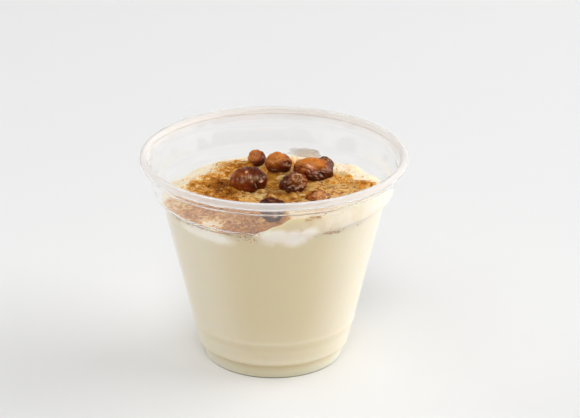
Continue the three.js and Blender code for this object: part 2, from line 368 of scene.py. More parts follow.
raisins = [dict(zip(raisinFields, row)) for row in (  # in the frame's order
    ((-8.6, -1.8, 64.4), (6.4, 5.6, 4.9), -12, 0, 5),
    ((-6.0, 22.6, 62.7), (3.15, 3.2, 3.3), 30, 12, 4),
    ((1.7, 15.6, 63.8), (4.7, 4.4, 4.0), 15, -14, 5),
    ((13.8, 8.6, 64.1), (7.0, 5.1, 4.5), 8, -14, 5),
    ((6.7, -3.0, 63.8), (5.0, 4.3, 3.7), 24, 16, 6),
    ((0.5, -26.5, 64.0), (6.0, 4.3, 3.8), -14, -22, 5),
    ((14.8, -14.6, 62.5), (4.7, 3.9, 3.3), 14, 9, 6),
    ((17.6, 18.2, 62.5), (3.4, 2.8, 2.7), -20, -6, 5),
)]
inner = besideLine(cupMiddle(), cupShape["sheet"] / 2 - puddingShape["intoWall"])
wallLine = np.array([(q.y, q.x) for q in inner if cupShape["coneStart"] < q.y < cupShape["bandTopLevel"]])


def wallRadius(level):
    return np.interp(level, wallLine[:, 0], wallLine[:, 1])


def smoothContact(azimuth):  # level of the contact line at these azimuths in degrees
    places, levels = np.array(contactLine, float).T
    place = np.mod(azimuth, 360)
    after = np.clip(np.searchsorted(places, place, side="right"), 1, len(places) - 1)
    share = smoothStep(places[after - 1], places[after], place)
    level = levels[after - 1] + (levels[after] - levels[after - 1]) * share
    turn = np.radians(azimuth)
    return level + contactWave["height"] * sum(np.sin(n * turn + n) for n in contactWave["turns"])


def makeGrains():  # the same grains as in the frame's own relief
    shape = riceShape
    state = shape["seed"]
    grains = []
    for _ in range(shape["count"]):
        draws = []
        for _ in range(5):
            state = (state * shape["times"] + shape["plus"]) % shape["range"]
            draws.append(state / shape["range"])
        radius, azimuth, heading = shape["reach"] * math.sqrt(draws[0]), tau * draws[1], math.pi * draws[2]
        size = shape["smallest"] + (shape["largest"] - shape["smallest"]) * draws[3]
        grains.append({
            "x": radius * math.cos(azimuth), "y": radius * math.sin(azimuth),
            "along": (math.cos(heading), math.sin(heading)),
            "halfLength": shape["length"] * size / 2, "halfWidth": shape["width"] * size / 2,
            "height": shape["height"] * (shape["deepest"] + (1 - shape["deepest"]) * draws[4]),
        })
    return grains


grains = makeGrains()


def grainLift(x, y):  # height of the highest grain under each point, and how much of a grain it is
    lift = np.zeros_like(x)
    for grain in grains:
        dx, dy = x - grain["x"], y - grain["y"]
        along = (dx * grain["along"][0] + dy * grain["along"][1]) / grain["halfLength"]
        across = (dy * grain["along"][0] - dx * grain["along"][1]) / grain["halfWidth"]
        lift = np.maximum(lift, grain["height"] * (1 - along ** 2 - across ** 2))
    return lift, lift / riceShape["height"]


def heapLift(heaps, x, y):
    return sum(high * np.exp(-0.5 * ((x - heapX) ** 2 + (y - heapY) ** 2) / spread ** 2)
               for heapX, heapY, high, spread in heaps)


def raisinMatrix(raisin, grow=0):  # from a ball of radius 1 to the raisin's ellipsoid, in millimetres
    turn = Matrix.Rotation(math.radians(raisin["turn"]), 4, "Z") @ Matrix.Rotation(
        -math.radians(raisin["tilt"]), 4, "Y")
    half = [h + grow for h in raisin["half"]]
    return Matrix.Translation(raisin["centre"]) @ turn @ Matrix.Diagonal((*half, 1))


def inBall(raisin, grow, x, y, level):  # these places and one step upwards, seen from a ball of radius 1
    inverse = np.array(raisinMatrix(raisin, grow).inverted())
    return np.stack([x, y, level, np.ones_like(x)], -1) @ inverse.T[:, :3], inverse[:3, 2]


def ballSection(raisin, grow, x, y):  # where vertical lines at x, y enter the grown ellipsoid
    start, step = inBall(raisin, grow, x, y, np.zeros_like(x))
    a = step @ step
    b = start @ step
    room = b * b - a * ((start * start).sum(-1) - 1)
    return np.where(room > 0, (-b - np.sqrt(np.maximum(room, 0))) / a, np.inf)


def levelNearRaisins(x, y, level):  # a low meniscus round each raisin, and a pocket well inside it
    p = puddingShape
    lift = np.zeros_like(level)
    for raisin in raisins:
        away = (np.linalg.norm(inBall(raisin, 0, x, y, level)[0], axis=-1) - 1) * min(raisin["half"])
        near = np.exp(-np.clip(away, 0, None) / p["meniscusReach"])
        lift = np.maximum(lift, p["meniscus"] * near)
    level = level + lift
    for raisin in raisins:
        level = np.minimum(level, ballSection(raisin, -p["pocketInset"], x, y))
    return level, lift / p["meniscus"]


toppingZones = [  # x, y, spread, and the shares of cinnamon, syrup and cream
    (-26.5, 3.5, 2.6, 0.6, 0.3, 0.1), (-24.5, -4.5, 3, 0.55, 0.4, 0.1), (-22, 9, 2.6, 0.55, 0.4, 0.1),
    (-18.5, 0.5, 3, 0.95, 0.4, 0), (-17.5, -6.5, 3, 0.75, 0.6, 0), (-17, 7.5, 2.6, 0.85, 0.4, 0),
    (-15, 15.5, 3, 0.6, 0.6, 0), (-11.5, 21, 2.6, 0.75, 0.5, 0), (-23, 0, 1.6, 0.3, 0.2, 0.6),
    (-21, 14.5, 2.6, 0.3, 0.2, 0.7), (-27, 12.5, 3, 0.15, 0, 1), (-32.5, 8.5, 3, 0.05, 0, 1),
    (-30.1, 19.5, 3.5, 0, 0, 1), (-31.5, -1, 2.6, 0.35, 0.1, 0.6), (-35.5, 2, 3, 0.05, 0, 1),
    (-22.7, 33, 5, 0, 0, 1), (-13.9, 35.5, 5, 0, 0, 1), (-16, 26.5, 3, 0.5, 0.4, 0.3),
    (-2, 2.9, 4, 0.04, 1, 0), (0.4, -5.3, 4, 0.06, 1, 0), (-5.4, -9, 3, 0.25, 0.9, 0.1),
    (8.9, -9.7, 4, 0.06, 1, 0), (19.2, -6, 4, 0.25, 0.9, 0.1), (5.6, 9, 4, 0.04, 1, 0),
    (-3, 29.5, 4, 0.15, 0.4, 0.7), (6, 31, 4, 0, 0.1, 1), (14, 29.5, 4, 0.1, 0.1, 0.9),
    (7.2, 17, 2.6, 0.3, 0.9, 0), (7, 23, 2.6, 0.6, 0.5, 0), (6.8, 28.5, 2.4, 0.55, 0.5, 0.1),
    (6.8, 34, 2, 0.4, 0.3, 0.3), (-4, 18, 2, 0.5, 0.8, 0), (24.5, 1.8, 3.5, 0.4, 0.8, 0),
    (26.7, -5.7, 3, 0.3, 0.7, 0.2), (22, 9, 2.5, 0.5, 0.6, 0.1), (21.5, 15, 2, 0.5, 0.4, 0.3),
    (27.2, 11.5, 3, 0.18, 0.3, 0.8), (31.8, 15.1, 3.5, 0.05, 0, 1), (23.2, 20.4, 4, 0.12, 0.1, 0.9),
    (32.4, 1, 2.6, 0.7, 0.6, 0), (36.5, 4, 2.5, 0.1, 0, 1), (36, -6, 3, 0.15, 0.1, 0.9),
    (-34.4, -14, 3.5, 0.42, 0.1, 0.4), (-28, -19, 3, 0.58, 0.2, 0.1), (-26.5, -26.5, 2.2, 0.55, 0.2, 0.1),
    (-20.5, -29.2, 2.6, 0.1, 0, 1), (-12.7, -33, 4, 0.75, 0.3, 0), (-9.2, -37.5, 2.2, 0.75, 0.1, 0.1),
    (-7.9, -26.1, 4, 0.6, 0.5, 0), (-15, -24, 3, 0.55, 0.3, 0.2), (5.4, -21.3, 4, 0.4, 0.7, 0.1),
    (-17, -17, 4, 0.7, 0.5, 0), (15, -21, 4, 0.4, 0.3, 0.5), (27, -14, 4, 0.3, 0.3, 0.6),
    (0, -34.5, 2.5, 0.7, 0.3, 0.1), (16, -32, 5, 0.05, 0, 1), (29, -24, 5, 0.05, 0, 1),
]
toppingEdge = {
    "waver": 1.8, "waverSize": 2.8,  # how far a zone's edge wanders, in millimetres
    "farPull": 1e-7, "least": 1e-9,  # what a place far from every zone takes from all of them
}


def toppingShares(x, y):  # cinnamon, syrup and cream at these points, blended from the zones
    edge = toppingEdge
    flat = flatPoints(x, y)
    x = x + edge["waver"] * lumpNoise(flat, edge["waverSize"], 5)
    y = y + edge["waver"] * lumpNoise(flat, edge["waverSize"], 6)
    total = np.full_like(x, edge["least"])
    shares = np.zeros((3, len(x)))
    for zx, zy, spread, *parts in toppingZones:
        apart = (x - zx) ** 2 + (y - zy) ** 2
        weight = np.exp(-0.5 * apart / spread ** 2) + edge["farPull"] / (1 + apart)
        total += weight
        shares += weight * np.array(parts)[:, None]
    return shares / total


def surfaceAt(x, y):  # level of the top at these places, and what it is made of there
    p = puddingShape
    edgeLevel = smoothContact(azimuthAt(x, y))
    share = np.clip(np.hypot(x, y) / wallRadius(edgeLevel), 0, 1)
    sweep = p["centreLevel"] + (edgeLevel - p["centreLevel"]) * share ** p["edgeCurl"]
    calm = 1 - share ** p["edgeCalm"]
    grainHeight, grainShare = grainLift(x, y)
    cinnamon, syrup, cream = toppingShares(x, y)
    flat = flatPoints(x, y)
    thick = np.maximum(cream, p["cinnamonThick"] * cinnamon)
    relief = (p["calmRelief"] + (1 - p["calmRelief"]) * thick) * (
        p["lump"] * lumpNoise(flat, p["lumpSize"], 3) + p["clot"] * lumpNoise(flat, p["clotSize"], 4))
    crumbly = p["crumbly"] * lumpNoise(flat, p["crumblySize"], 1)
    relief += smoothStep(p["crumblyFrom"], p["crumblyTo"], cinnamon) * crumbly
    heaps = heapLift(swells, x, y) + heapLift(lumps, x, y)
    level = sweep + calm * (heaps + p["grainShare"] * grainHeight + relief)
    level, wet = levelNearRaisins(x, y, level)
    return level, {
        "cinnamon": cinnamon, "syrup": syrup, "cream": cream, "grain": grainShare * calm, "wet": wet}


wallMarks = [  # azimuth, level, half width in degrees, half height, and how much white and stain it brings; the white is milk, except in the three wide marks at the right, where it is painted light
    (232, 57.2, 15, 2.3, 1, 0), (241, 56.2, 9, 2, 0.8, 0), (222, 57, 7, 1.6, 0.9, 0), (271, 60.3, 9, 3, 1, 0),
    (280, 59.3, 9, 3.6, 1, 0), (287, 61, 6, 3.2, 0.8, 0), (268, 57.5, 5, 1.5, 0.6, 0),
    # painted light: the key's glare on the pudding's right side, painted white
    (303, 65, 18, 6, 0.5, 0), (328, 65, 20, 6, 0.6, 0), (352, 64, 22, 7, 1, 0),
    (256.5, 59.3, 3.5, 1, 0, 0.7), (213, 59.2, 4.5, 1, 0, 0.8), (222, 59, 2.5, 0.6, 0, 0.9),
    (231, 59.4, 4.5, 0.5, 0, 0.8), (246.5, 59.4, 3.5, 0.6, 0, 0.9), (285, 66.5, 1.6, 1.2, 0, 0.75),
    (285.5, 64.5, 1.2, 1.5, 0, 0.5), (281.5, 62.5, 0.8, 1.3, 0, 0.5), (283.5, 60, 0.9, 1, 0, 0.5),
    (290.5, 67, 2.2, 0.8, 0, 0.9), (287.5, 67.8, 3, 0.5, 0, 0.9), (299, 59.2, 5.5, 1.1, 0, 0.8),
    (303, 58.7, 3, 0.6, 0, 1), (297, 60.6, 3, 1, 0, 0.5), (306, 60.5, 3, 1, 0, 0.4),
    (318.5, 58.8, 3, 1.3, 0, 0.55), (325, 60.5, 4, 1, 0, 0.4),
]
foldShadeLines = [  # painted shade and light at the foot's ledge and the bead: level, half height, and how much darker (or, if negative, paler) the milk is painted behind each
    (5.2, 0.9, 0.9), (7.2, 0.6, -0.9), (12.8, 0.9, 0.25), (15.2, 0.6, -0.5),
]
paintedSideLight = {  # painted light: the milk is painted paler on the lit sides away from this azimuth, and palest far to the right, where the key light falls
    "middle": 272, "clearTo": 14, "fullFrom": 48,
    "rightFrom": 35, "rightTo": 80, "backFrom": 115, "backTo": 178,
    "footFrom": 28, "footTo": 6, "foot": 0.5,  # and painted a little paler down to the foot
}


def wallShares(azimuth, level):  # milk clouds, cinnamon stains, and painted light and shade: the paler lit sides, the key's glare at the right, and the lines at the sheet's folds
    side = paintedSideLight
    milkAndPaintedLight = np.zeros_like(level)
    stain = np.zeros_like(level)
    for az, z, width, height, milkAndLightAmount, stainAmount in wallMarks:
        blob = np.exp(-((turnFrom(az, azimuth) / width) ** 2 + ((level - z) / height) ** 2))
        milkAndPaintedLight = np.maximum(milkAndPaintedLight, milkAndLightAmount * blob)
        stain = np.maximum(stain, stainAmount * blob)
    # painted light: paler on the lit sides, a little paler towards the foot, and palest at the key-lit right
    away = turnFrom(side["middle"], azimuth)
    sides = smoothStep(side["clearTo"], side["fullFrom"], np.abs(away))
    foot = side["foot"] * smoothStep(side["footFrom"], side["footTo"], level)
    # painted shade below the sheet's folds, and painted light lines where the value is negative
    fold = sum(dark * bell(level - z, height) for z, height, dark in foldShadeLines)
    pale = 1 - (1 - sides) * (1 - foot) * (1 - np.clip(-fold, 0, 1))
    paintedKeyLight = smoothStep(side["rightFrom"], side["rightTo"], away) * smoothStep(
        side["backTo"], side["backFrom"], away)
    return {"milkAndPaintedLight": milkAndPaintedLight, "stain": stain, "pale": pale, "fold": np.clip(fold, 0, 1), "paintedKeyLight": paintedKeyLight}


def shapePudding(mesh):
    p = puddingShape
    co = readCo(mesh) / mm
    azimuth = azimuthAt(co[:, 0], co[:, 1])
    radius = np.hypot(co[:, 0], co[:, 1])
    edgeLevel = smoothContact(azimuth)
    isTop = co[:, 2] > p["drumLevel"] - 1
    turnLevel = edgeLevel - p["squeeze"]
    high = ~isTop & (co[:, 2] > turnLevel)  # rows above the contact line are squeezed to just under it
    highest = wallLine[-1, 0]
    squeezed = edgeLevel - p["squeeze"] * (highest - co[:, 2]) / (highest - turnLevel) - 0.01
    co[high, 2] = squeezed[high]
    grow = np.where(high, wallRadius(co[:, 2]) / np.maximum(radius, 1e-6), 1)
    grow = np.where(isTop, wallRadius(edgeLevel) / p["drumRadius"], grow)
    co[:, :2] *= grow[:, None]
    co[isTop, 2], topShares = surfaceAt(co[isTop, 0], co[isTop, 1])
    writeCo(mesh, co * mm)
    for shares, where in ((topShares, isTop), (wallShares(azimuth[~isTop], co[~isTop, 2]), ~isTop)):
        for name, values in shares.items():
            spread = np.zeros(len(co))
            spread[where] = values
            addAttribute(mesh, name, spread)


puddingLook = {
    "bodyMiddle": "#E0D1AA", "bodyOnLitSides": "#EAE0C8", "bodyInKeyLight": "#F6EEDD", "bodyFoldShade": "#D4C190",
    "mottle": "#DACAA2", "paleMilkAndLight": "#FFF4EA", "stainBrown": "#A87A52",
    "creamTop": "#F4E4C8", "syrupThin": "#CE8E2C", "syrupDeep": "#94561A", "grainInSyrup": "#D2A65C",
    "syrupPoolAndShade": "#6E3810",
    "cinnamonVeil": "#EDC88C", "cinnamonPale": "#DC9A3C", "cinnamonMid": "#B26A1C", "cinnamonDark": "#5E2C0C",
    "thinFrom": 0.36, "thinTo": 0.66, "drift": 1.7, "grit": 0.9,
    "shares": ("cinnamon", "syrup", "cream", "grain", "wet", "milkAndPaintedLight", "stain", "pale", "paintedKeyLight", "fold"),
    "patterns": {"speck": (0.5, 3), "patch": (1.3, 3), "mottled": (2.6, 3)},
    "roughCream": 0.34, "roughSyrup": 0.24, "roughCinnamon": 0.62, "wetFrom": 0.2, "wetTo": 0.8,
    "shine": 0.36, "dullShine": 0.1,  # loose powder swallows most of what would shine
    "bump": {"Strength": 0.5, "Distance": 0.4 * mm},
    "speckInGrit": 0.45, "grittyFrom": 0.2, "grittyTo": 1.2, "grittyFull": 0.8,
    "sockets": {"IOR": 1.38, **lightUnder(0.7, 4.2, 3, 1.8)},
    "edges": {  # how ragged a layer's edge is, the shares where it starts and is full, and how much shows
        "faint": (0, 0.52, 0.72, 0.15), "milkAndPaintedLight": (0.5, 0.1, 0.75), "stain": (1.5, 0.42, 0.8, 0.8),
        "pooledAndShaded": (0.6, 0.2, 0.8, 0.7), "grain": (2, 0.15, 1.1, 0.75), "syrup": (0.8, 0.22, 0.62),
        "cream": (0.9, 0.3, 0.65), "veil": (0, 0.12, 0.42)},
}


def sideColour(tree, look, share, pattern):  # through the cup: faint grains, milk clouds, stains, and painted light and shade on the body
    edges = look["edges"]
    faint = raggedShare(tree, pattern["mottled"], 0, *edges["faint"])
    milkAndPaintedLight = raggedShare(tree, share["milkAndPaintedLight"], pattern["mottled"], *edges["milkAndPaintedLight"])
    stain = raggedShare(tree, share["stain"], pattern["patch"], *edges["stain"])
    return paintOver(tree, srgb(look["bodyMiddle"]), [
        (share["pale"], look["bodyOnLitSides"]), (share["paintedKeyLight"], look["bodyInKeyLight"]),
        (share["fold"], look["bodyFoldShade"]), (faint, look["mottle"]), (milkAndPaintedLight, look["paleMilkAndLight"]),
        (stain, look["stainBrown"])])


def toppedColour(tree, look, share, pattern, body):  # syrup and cream over the body, with painted shade round the raisins
    edges = look["edges"]
    thin = addNode(tree, "MapRange", {}, {
        "Value": pattern["mottled"], "From Min": look["thinFrom"], "From Max": look["thinTo"]})
    # painted shade: the syrup is painted darker in the meniscus round each raisin, partly real pooled syrup
    # and partly the shade between the raisins
    pooledAndShaded = raggedShare(tree, share["wet"], pattern["patch"], *edges["pooledAndShaded"])
    grain = raggedShare(tree, share["grain"], pattern["patch"], *edges["grain"])
    syrup = paintOver(tree, srgb(look["syrupDeep"]), [
        (thin, look["syrupThin"]), (pooledAndShaded, look["syrupPoolAndShade"]), (grain, look["grainInSyrup"])])
    wet = raggedShare(tree, share["syrup"], pattern["mottled"], *edges["syrup"])
    cream = raggedShare(tree, share["cream"], pattern["patch"], *edges["cream"])
    return paintOver(tree, body, [(wet, syrup), (cream, look["creamTop"])])


def cinnamonDust(tree, look, share, pattern):  # from a thin orange veil to dark heaps, by how thick it lies
    veilEdge = look["edges"]["veil"]
    drifts = addNode(tree, "Mix", {}, {0: 0.5, 2: pattern["mottled"], 3: pattern["patch"]})
    thick = share["cinnamon"]
    for pattern, amount in ((drifts, look["drift"]), (pattern["speck"], look["grit"])):
        thick = addNode(tree, "Math", {"operation": "MULTIPLY_ADD"}, {0: pattern, 1: amount, 2: thick})
    none = (look["drift"] + look["grit"]) / 2
    depth = addNode(tree, "MapRange", {}, {"Value": thick, "From Min": none, "From Max": none + 1})
    veil = raggedShare(tree, depth, 0, *veilEdge)
    some = addNode(tree, "MapRange", {}, {"Value": share["cinnamon"], "From Max": veilEdge[1]})
    dusted = addNode(tree, "Math", {"operation": "MULTIPLY"}, {0: veil, 1: some})
    colour = addNode(tree, "ValToRGB", {}, {"Fac": depth}, stops=[
        (0.3, look["cinnamonVeil"]), (0.95, look["cinnamonDark"]), (0.5, look["cinnamonPale"]),
        (0.72, look["cinnamonMid"])])
    return dusted, colour


# Milk thickened by rice starch: opaque and creamy, a soft wet shine, with light spreading a little under the
# skin. On top it is syrup, clear amber and glossy, and ground cinnamon bark, dull orange-brown specks.
# Its colour also carries painted light and shade: paler lit sides, the key's glare at the right, lines at the
# sheet's folds and darker syrup round the raisins.
def puddingSurface(tree, look, share, pattern):
    top = toppedColour(tree, look, share, pattern, sideColour(tree, look, share, pattern))
    dusted, cinnamon = cinnamonDust(tree, look, share, pattern)
    colour = paintOver(tree, top, [(dusted, cinnamon)])
    sticky = addNode(tree, "MapRange", softEdge, {
        "Value": share["syrup"], "From Min": look["wetFrom"], "From Max": look["wetTo"],
        "To Min": look["roughCream"], "To Max": look["roughSyrup"]})
    rough = addNode(tree, "Mix", {}, {0: dusted, 2: sticky, 3: look["roughCinnamon"]})
    shine = addNode(tree, "MapRange", {}, {
        "Value": dusted, "To Min": look["shine"], "To Max": look["dullShine"]})
    grit = addNode(tree, "Mix", {}, {0: look["speckInGrit"], 2: pattern["patch"], 3: pattern["speck"]})
    gritty = addNode(tree, "MapRange", {}, {
        "Value": share["cinnamon"], "From Max": look["grittyFull"],
        "To Min": look["grittyFrom"], "To Max": look["grittyTo"]})
    height = addNode(tree, "Math", {"operation": "MULTIPLY"}, {0: grit, 1: gritty})
    bump = addNode(tree, "Bump", {}, {"Height": height, **look["bump"]})
    return addNode(tree, "BsdfPrincipled", lightInside, {
        "Base Color": colour, "Roughness": rough, "Specular IOR Level": shine, "Normal": bump,
        **look["sockets"]})


def makePudding():  # a drum with many rings on its lid, in the cup's own section below, and then shaped
    p = puddingShape
    top = [Vector((p["drumRadius"] * i / p["rings"], p["drumLevel"])) for i in range(p["rings"] + 1)]
    below = [q for q in inner if q.y < cupShape["bandTopLevel"]][::-1]
    mesh = spunMesh("ricePudding", top + below, p["columns"], p["merge"])
    shapePudding(mesh)
    material = makeMaterial("ricePuddingMilkAndCinnamon", puddingLook, puddingSurface)
    pudding = newPiece("ricePudding", mesh, material)
    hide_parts("pudding")
    return pudding


pudding = makePudding()
print("pudding:", len(pudding.data.polygons), "faces")


raisinLook = {
    "detail": 6, "grow": 0.2, "fold": 0.1, "endShare": 0.25, "bend": 1.5, "bendRate": 2.4, "shift": 1.9,
    "wrinkleSize": 2.3, "finerSize": 1.15, "finerShare": 0.45, "crinkleSize": 0.6, "crinkleShare": 0.1,
    "narrow": 3, "sharp": 1.5, "ringWidth": 0.28, "ringDip": 0.6,
    "dark": "#3E1204", "red": "#722C0A", "litAmber": "#BC7026", "dust": "#C08A52",
    "shares": ("litAmber", "dust"), "patterns": {"patches": (2.2, 3), "pores": (0.45, 2)},
    "patchy": 0.7, "bump": {"Strength": 0.2, "Distance": 0.15 * mm},
    "litAmberFrom": -0.15, "litAmberFull": 1, "shadeInFolds": 0.12, "dustFrom": 0.2, "dustFull": 0.95,
    "dustEdge": (1.6, 0.4, 0.75, 0.7),
    "roughness": 0.08, "dustRoughness": 0.36, "syrupFilm": "#FFD8B4",
    "sockets": {"IOR": 1.42, "Specular IOR Level": 0.31, **lightUnder(0.25, 1.6, 0.5, 0.15)},
}
# In the frame's order: share of its fold depth; depth of the creases, and the stretch that they follow; how
# much painted light turns it amber at most, and from where the light falls; how dusty, and towards where;
# dents, each with a direction, a reach in radians and a depth (negative for a bulge); raised rings, each with
# a direction, an angle and a height.
skinFields = ("fold", "wrinkle", "stretch", "litAmber", "litAmberTo", "dust", "dustTo", "dents", "rings")
raisinSkins = [dict(zip(skinFields, row)) for row in (
    (0.4, 0.42, (1, 1, 1.9), 0.35, (-0.7, -0.5, 0.5), 0.25, (0.95, -0.2, 0.25), [
        ((0.12, -0.5, 0.86), 0.2, 0.5), ((0.45, -0.85, 0.25), 0.28, 0.5), ((0.75, -0.6, -0.1), 0.2, 0.4)]),
    (0.6, 0.34, (1.3, 1, 1), 0.7, (-0.6, -0.3, 0.75), 0.2, (0.6, 0, 0.8), [((0.35, -0.85, 0.4), 0.35, 0.7)]),
    (0.7, 0.52, (1.4, 1, 1), 0.75, (-0.3, -0.3, 0.9), 0.4, (0.75, -0.3, 0.6), [
        ((0.1, -1, -0.1), 0.35, 0.6), ((0.6, -0.7, 0.4), 0.2, 0.35)]),
    (0.6, 0.46, (1.8, 1, 1), 0.75, (-0.1, -0.1, 0.98), 0.2, (0.9, -0.3, 0.5), [
        ((0.25, -0.92, 0.1), 0.2, 0.4), ((-0.2, -0.9, 0.3), 0.3, 0.25)], [((0.7, -0.62, 0.33), 0.24, 0.4)]),
    (0.6, 0.45, (1.2, 1, 1), 0.2, (0.5, 0, 0.8), 0.55, (0.35, -0.45, 0.82), [
        ((-0.05, -0.95, 0.1), 0.3, 0.6), ((0.8, -0.6, 0), 0.3, -0.5), ((0.6, -0.75, 0.25), 0.16, 0.5)],
     [((0.3, -0.5, 0.81), 0.42, 0.5)]),
    (0.9, 0.45, (1.4, 1, 1), 0.05, axisZ, 0, axisZ, [((-0.15, -0.8, -0.6), 0.75, -1.3)]),
    (0.8, 0.55, (1.4, 1, 1), 0.45, (-0.2, -0.3, 0.9), 0.75, (0.2, -0.3, 0.93)),
    (0.8, 0.3, (1.4, 1, 1), 0, axisZ, 0.5, (0, -0.3, 0.9)),
)]


# Soaked raisin: thin wrinkled grape skin over jelly-like pulp, so dark red-brown and wet. The amber towards
# the light is painted light, and the darker far side and creases are painted shade.
def raisinSurface(tree, look, share, pattern):
    shift = addNode(tree, "Math", {"operation": "MULTIPLY_ADD"}, {
        0: pattern["patches"], 1: look["patchy"], 2: share["litAmber"]})
    # the dark end is partly the skin's own dark red-brown and partly painted shade, the amber end painted
    # light
    skinColour = addNode(tree, "ValToRGB", {}, {"Fac": shift}, stops=[
        (0.3, look["dark"]), (1.0, look["litAmber"]), (0.62, look["red"])])
    dusted = raggedShare(tree, share["dust"], pattern["pores"], *look["dustEdge"])
    colour = paintOver(tree, skinColour, [(dusted, look["dust"])])
    rough = addNode(tree, "Mix", {}, {0: dusted, 2: look["roughness"], 3: look["dustRoughness"]})
    bump = addNode(tree, "Bump", {}, {"Height": pattern["pores"], **look["bump"]})
    return addNode(tree, "BsdfPrincipled", lightInside, {
        "Base Color": colour, "Roughness": rough, "Specular Tint": srgb(look["syrupFilm"]), "Normal": bump,
        **look["sockets"]})


def towards(out, direction):  # 1 where the skin looks that way, and -1 where it looks the other way
    return out @ np.array(Vector(direction).normalized())


def skinRelief(index, ball, sized, out):  # how deep the skin lies under the ellipsoid, in millimetres
    look = raisinLook
    skin = raisinSkins[index]
    around = np.arctan2(ball[:, 1], ball[:, 2])
    bend = look["bend"] * np.sin(look["bendRate"] * ball[:, 0] + look["shift"] * index)
    crease = np.cos((raisins[index]["folds"] * around + bend) / 2) ** 4
    ends = 1 + (look["endShare"] - 1) * ball[:, 0] ** 2
    fold = look["fold"] * skin["fold"] * crease * ends * np.linalg.norm(sized, axis=1)
    stretched = sized / skin["stretch"]
    near = [np.abs(lumpNoise(stretched, look[size], seed + index))
            for size, seed in (("wrinkleSize", 20), ("finerSize", 30))]
    creases, finer = (np.clip(1 - look["narrow"] * away, 0, 1) ** look["sharp"] for away in near)
    crinkles = lumpNoise(sized, look["crinkleSize"], 40 + index)
    depth = fold + skin["wrinkle"] * (creases + look["finerShare"] * finer + look["crinkleShare"] * crinkles)
    for direction, reach, deep in skin.get("dents", []):
        depth += deep * bell(np.arccos(np.clip(towards(out, direction), -1, 1)), reach)
    for direction, ringAngle, high in skin.get("rings", []):
        angle = np.arccos(np.clip(towards(out, direction), -1, 1))
        depth -= high * bell(angle - ringAngle, look["ringWidth"] * ringAngle)
        depth += look["ringDip"] * high * bell(angle, look["ringDip"] * ringAngle)
    return depth, crease


def makeRaisin(index, material):
    look, skin, raisin = raisinLook, raisinSkins[index], raisins[index]
    mesh = ballMesh(f"soakedRaisin{index + 1}", look["detail"])
    ball = readCo(mesh)
    sized = ball * (np.array(raisin["half"]) + look["grow"])
    turn = np.array((raisinMatrix(raisin) @ Matrix.Diagonal((*[1 / h for h in raisin["half"]], 1))).to_3x3())
    along = sized / np.linalg.norm(sized, axis=1)[:, None]
    out = along @ turn.T
    depth, crease = skinRelief(index, ball, sized, out)
    co = (sized - along * depth[:, None]) @ turn.T + np.array(raisin["centre"])
    writeCo(mesh, co * mm)
    # painted light: amber on the side towards the light; painted shade: less of it in the creases
    litAmber = skin["litAmber"] * smoothStep(look["litAmberFrom"], look["litAmberFull"], towards(out, skin["litAmberTo"]))
    dust = skin["dust"] * smoothStep(look["dustFrom"], look["dustFull"], towards(out, skin["dustTo"]))
    addAttribute(mesh, "litAmber", litAmber - look["shadeInFolds"] * crease)
    addAttribute(mesh, "dust", dust)
    piece = newPiece(mesh.name, mesh, material)
    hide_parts(f"raisin_{index + 1}")
    return piece


raisinSkin = makeMaterial("raisinSoakedSkin", raisinLook, raisinSurface)
raisinPieces = [makeRaisin(i, raisinSkin) for i in range(len(raisins))]
print("raisins:", len(raisinPieces))


crumbs = {
    "seed": 11, "tries": 42000, "reach": 0.975, "least": 0.05, "eagerness": 1.5,
    "clump": 0.35, "clumpSize": 2.2,
    "clear": 0.15, "offWall": 0.1,  # how far they keep from the raisins and from the pudding's outer face
    "smallest": 0.09, "largest": 0.34, "rarity": 2, "narrowest": 0.5, "flat": 0.6,
    "ragged": 0.25, "sunk": 0.2,
    "wallShade": 0.3, "thinShade": 0.5,  # lighter on the wall and where there is little of it
    "dark": "#6A3412", "light": "#C87E36", "sockets": {"Roughness": 0.7, "Specular IOR Level": 0.1},
    "shares": ["shade"], "patterns": {"fibres": (0.2, 2)}, "bump": {"Strength": 0.4, "Distance": 0.05 * mm},
}
wallCrumbs = [  # azimuth, level, spread in degrees, spread in height, and how many stick to the wall there
    (299, 59.7, 3.6, 0.7, 120), (304, 58.8, 2.6, 0.3, 70), (318.5, 59, 2.2, 0.9, 35),
    (326, 60.6, 2.6, 0.7, 20), (286, 66.5, 1, 0.8, 25), (290, 67.3, 1.8, 0.4, 30), (282.5, 61.5, 1, 1.8, 20),
    (256.5, 59.8, 2.8, 1.3, 140), (222, 59.2, 2.2, 0.4, 60), (231, 59.6, 3.6, 0.4, 70),
    (246.5, 59.5, 2.6, 0.5, 70), (212, 59.4, 3.6, 0.8, 90), (236, 59.3, 14, 0.3, 120),
    (228, 64.5, 5, 1.6, 90), (250, 63, 4, 0.8, 90), (255, 66, 6, 1.6, 60), (263.5, 61.8, 0.9, 0.7, 25),
    (202, 60.4, 4, 0.7, 30), (238, 60.6, 6, 0.5, 30),
]


# Ground cinnamon bark: dry dull chips, from dark red-brown to orange-brown.
def crumbSurface(tree, look, share, pattern):
    colour = paintOver(tree, srgb(look["dark"]), [(share["shade"], look["light"])])
    bump = addNode(tree, "Bump", {}, {"Height": pattern["fibres"], **look["bump"]})
    return addNode(tree, "BsdfPrincipled", {}, {"Base Color": colour, "Normal": bump, **look["sockets"]})


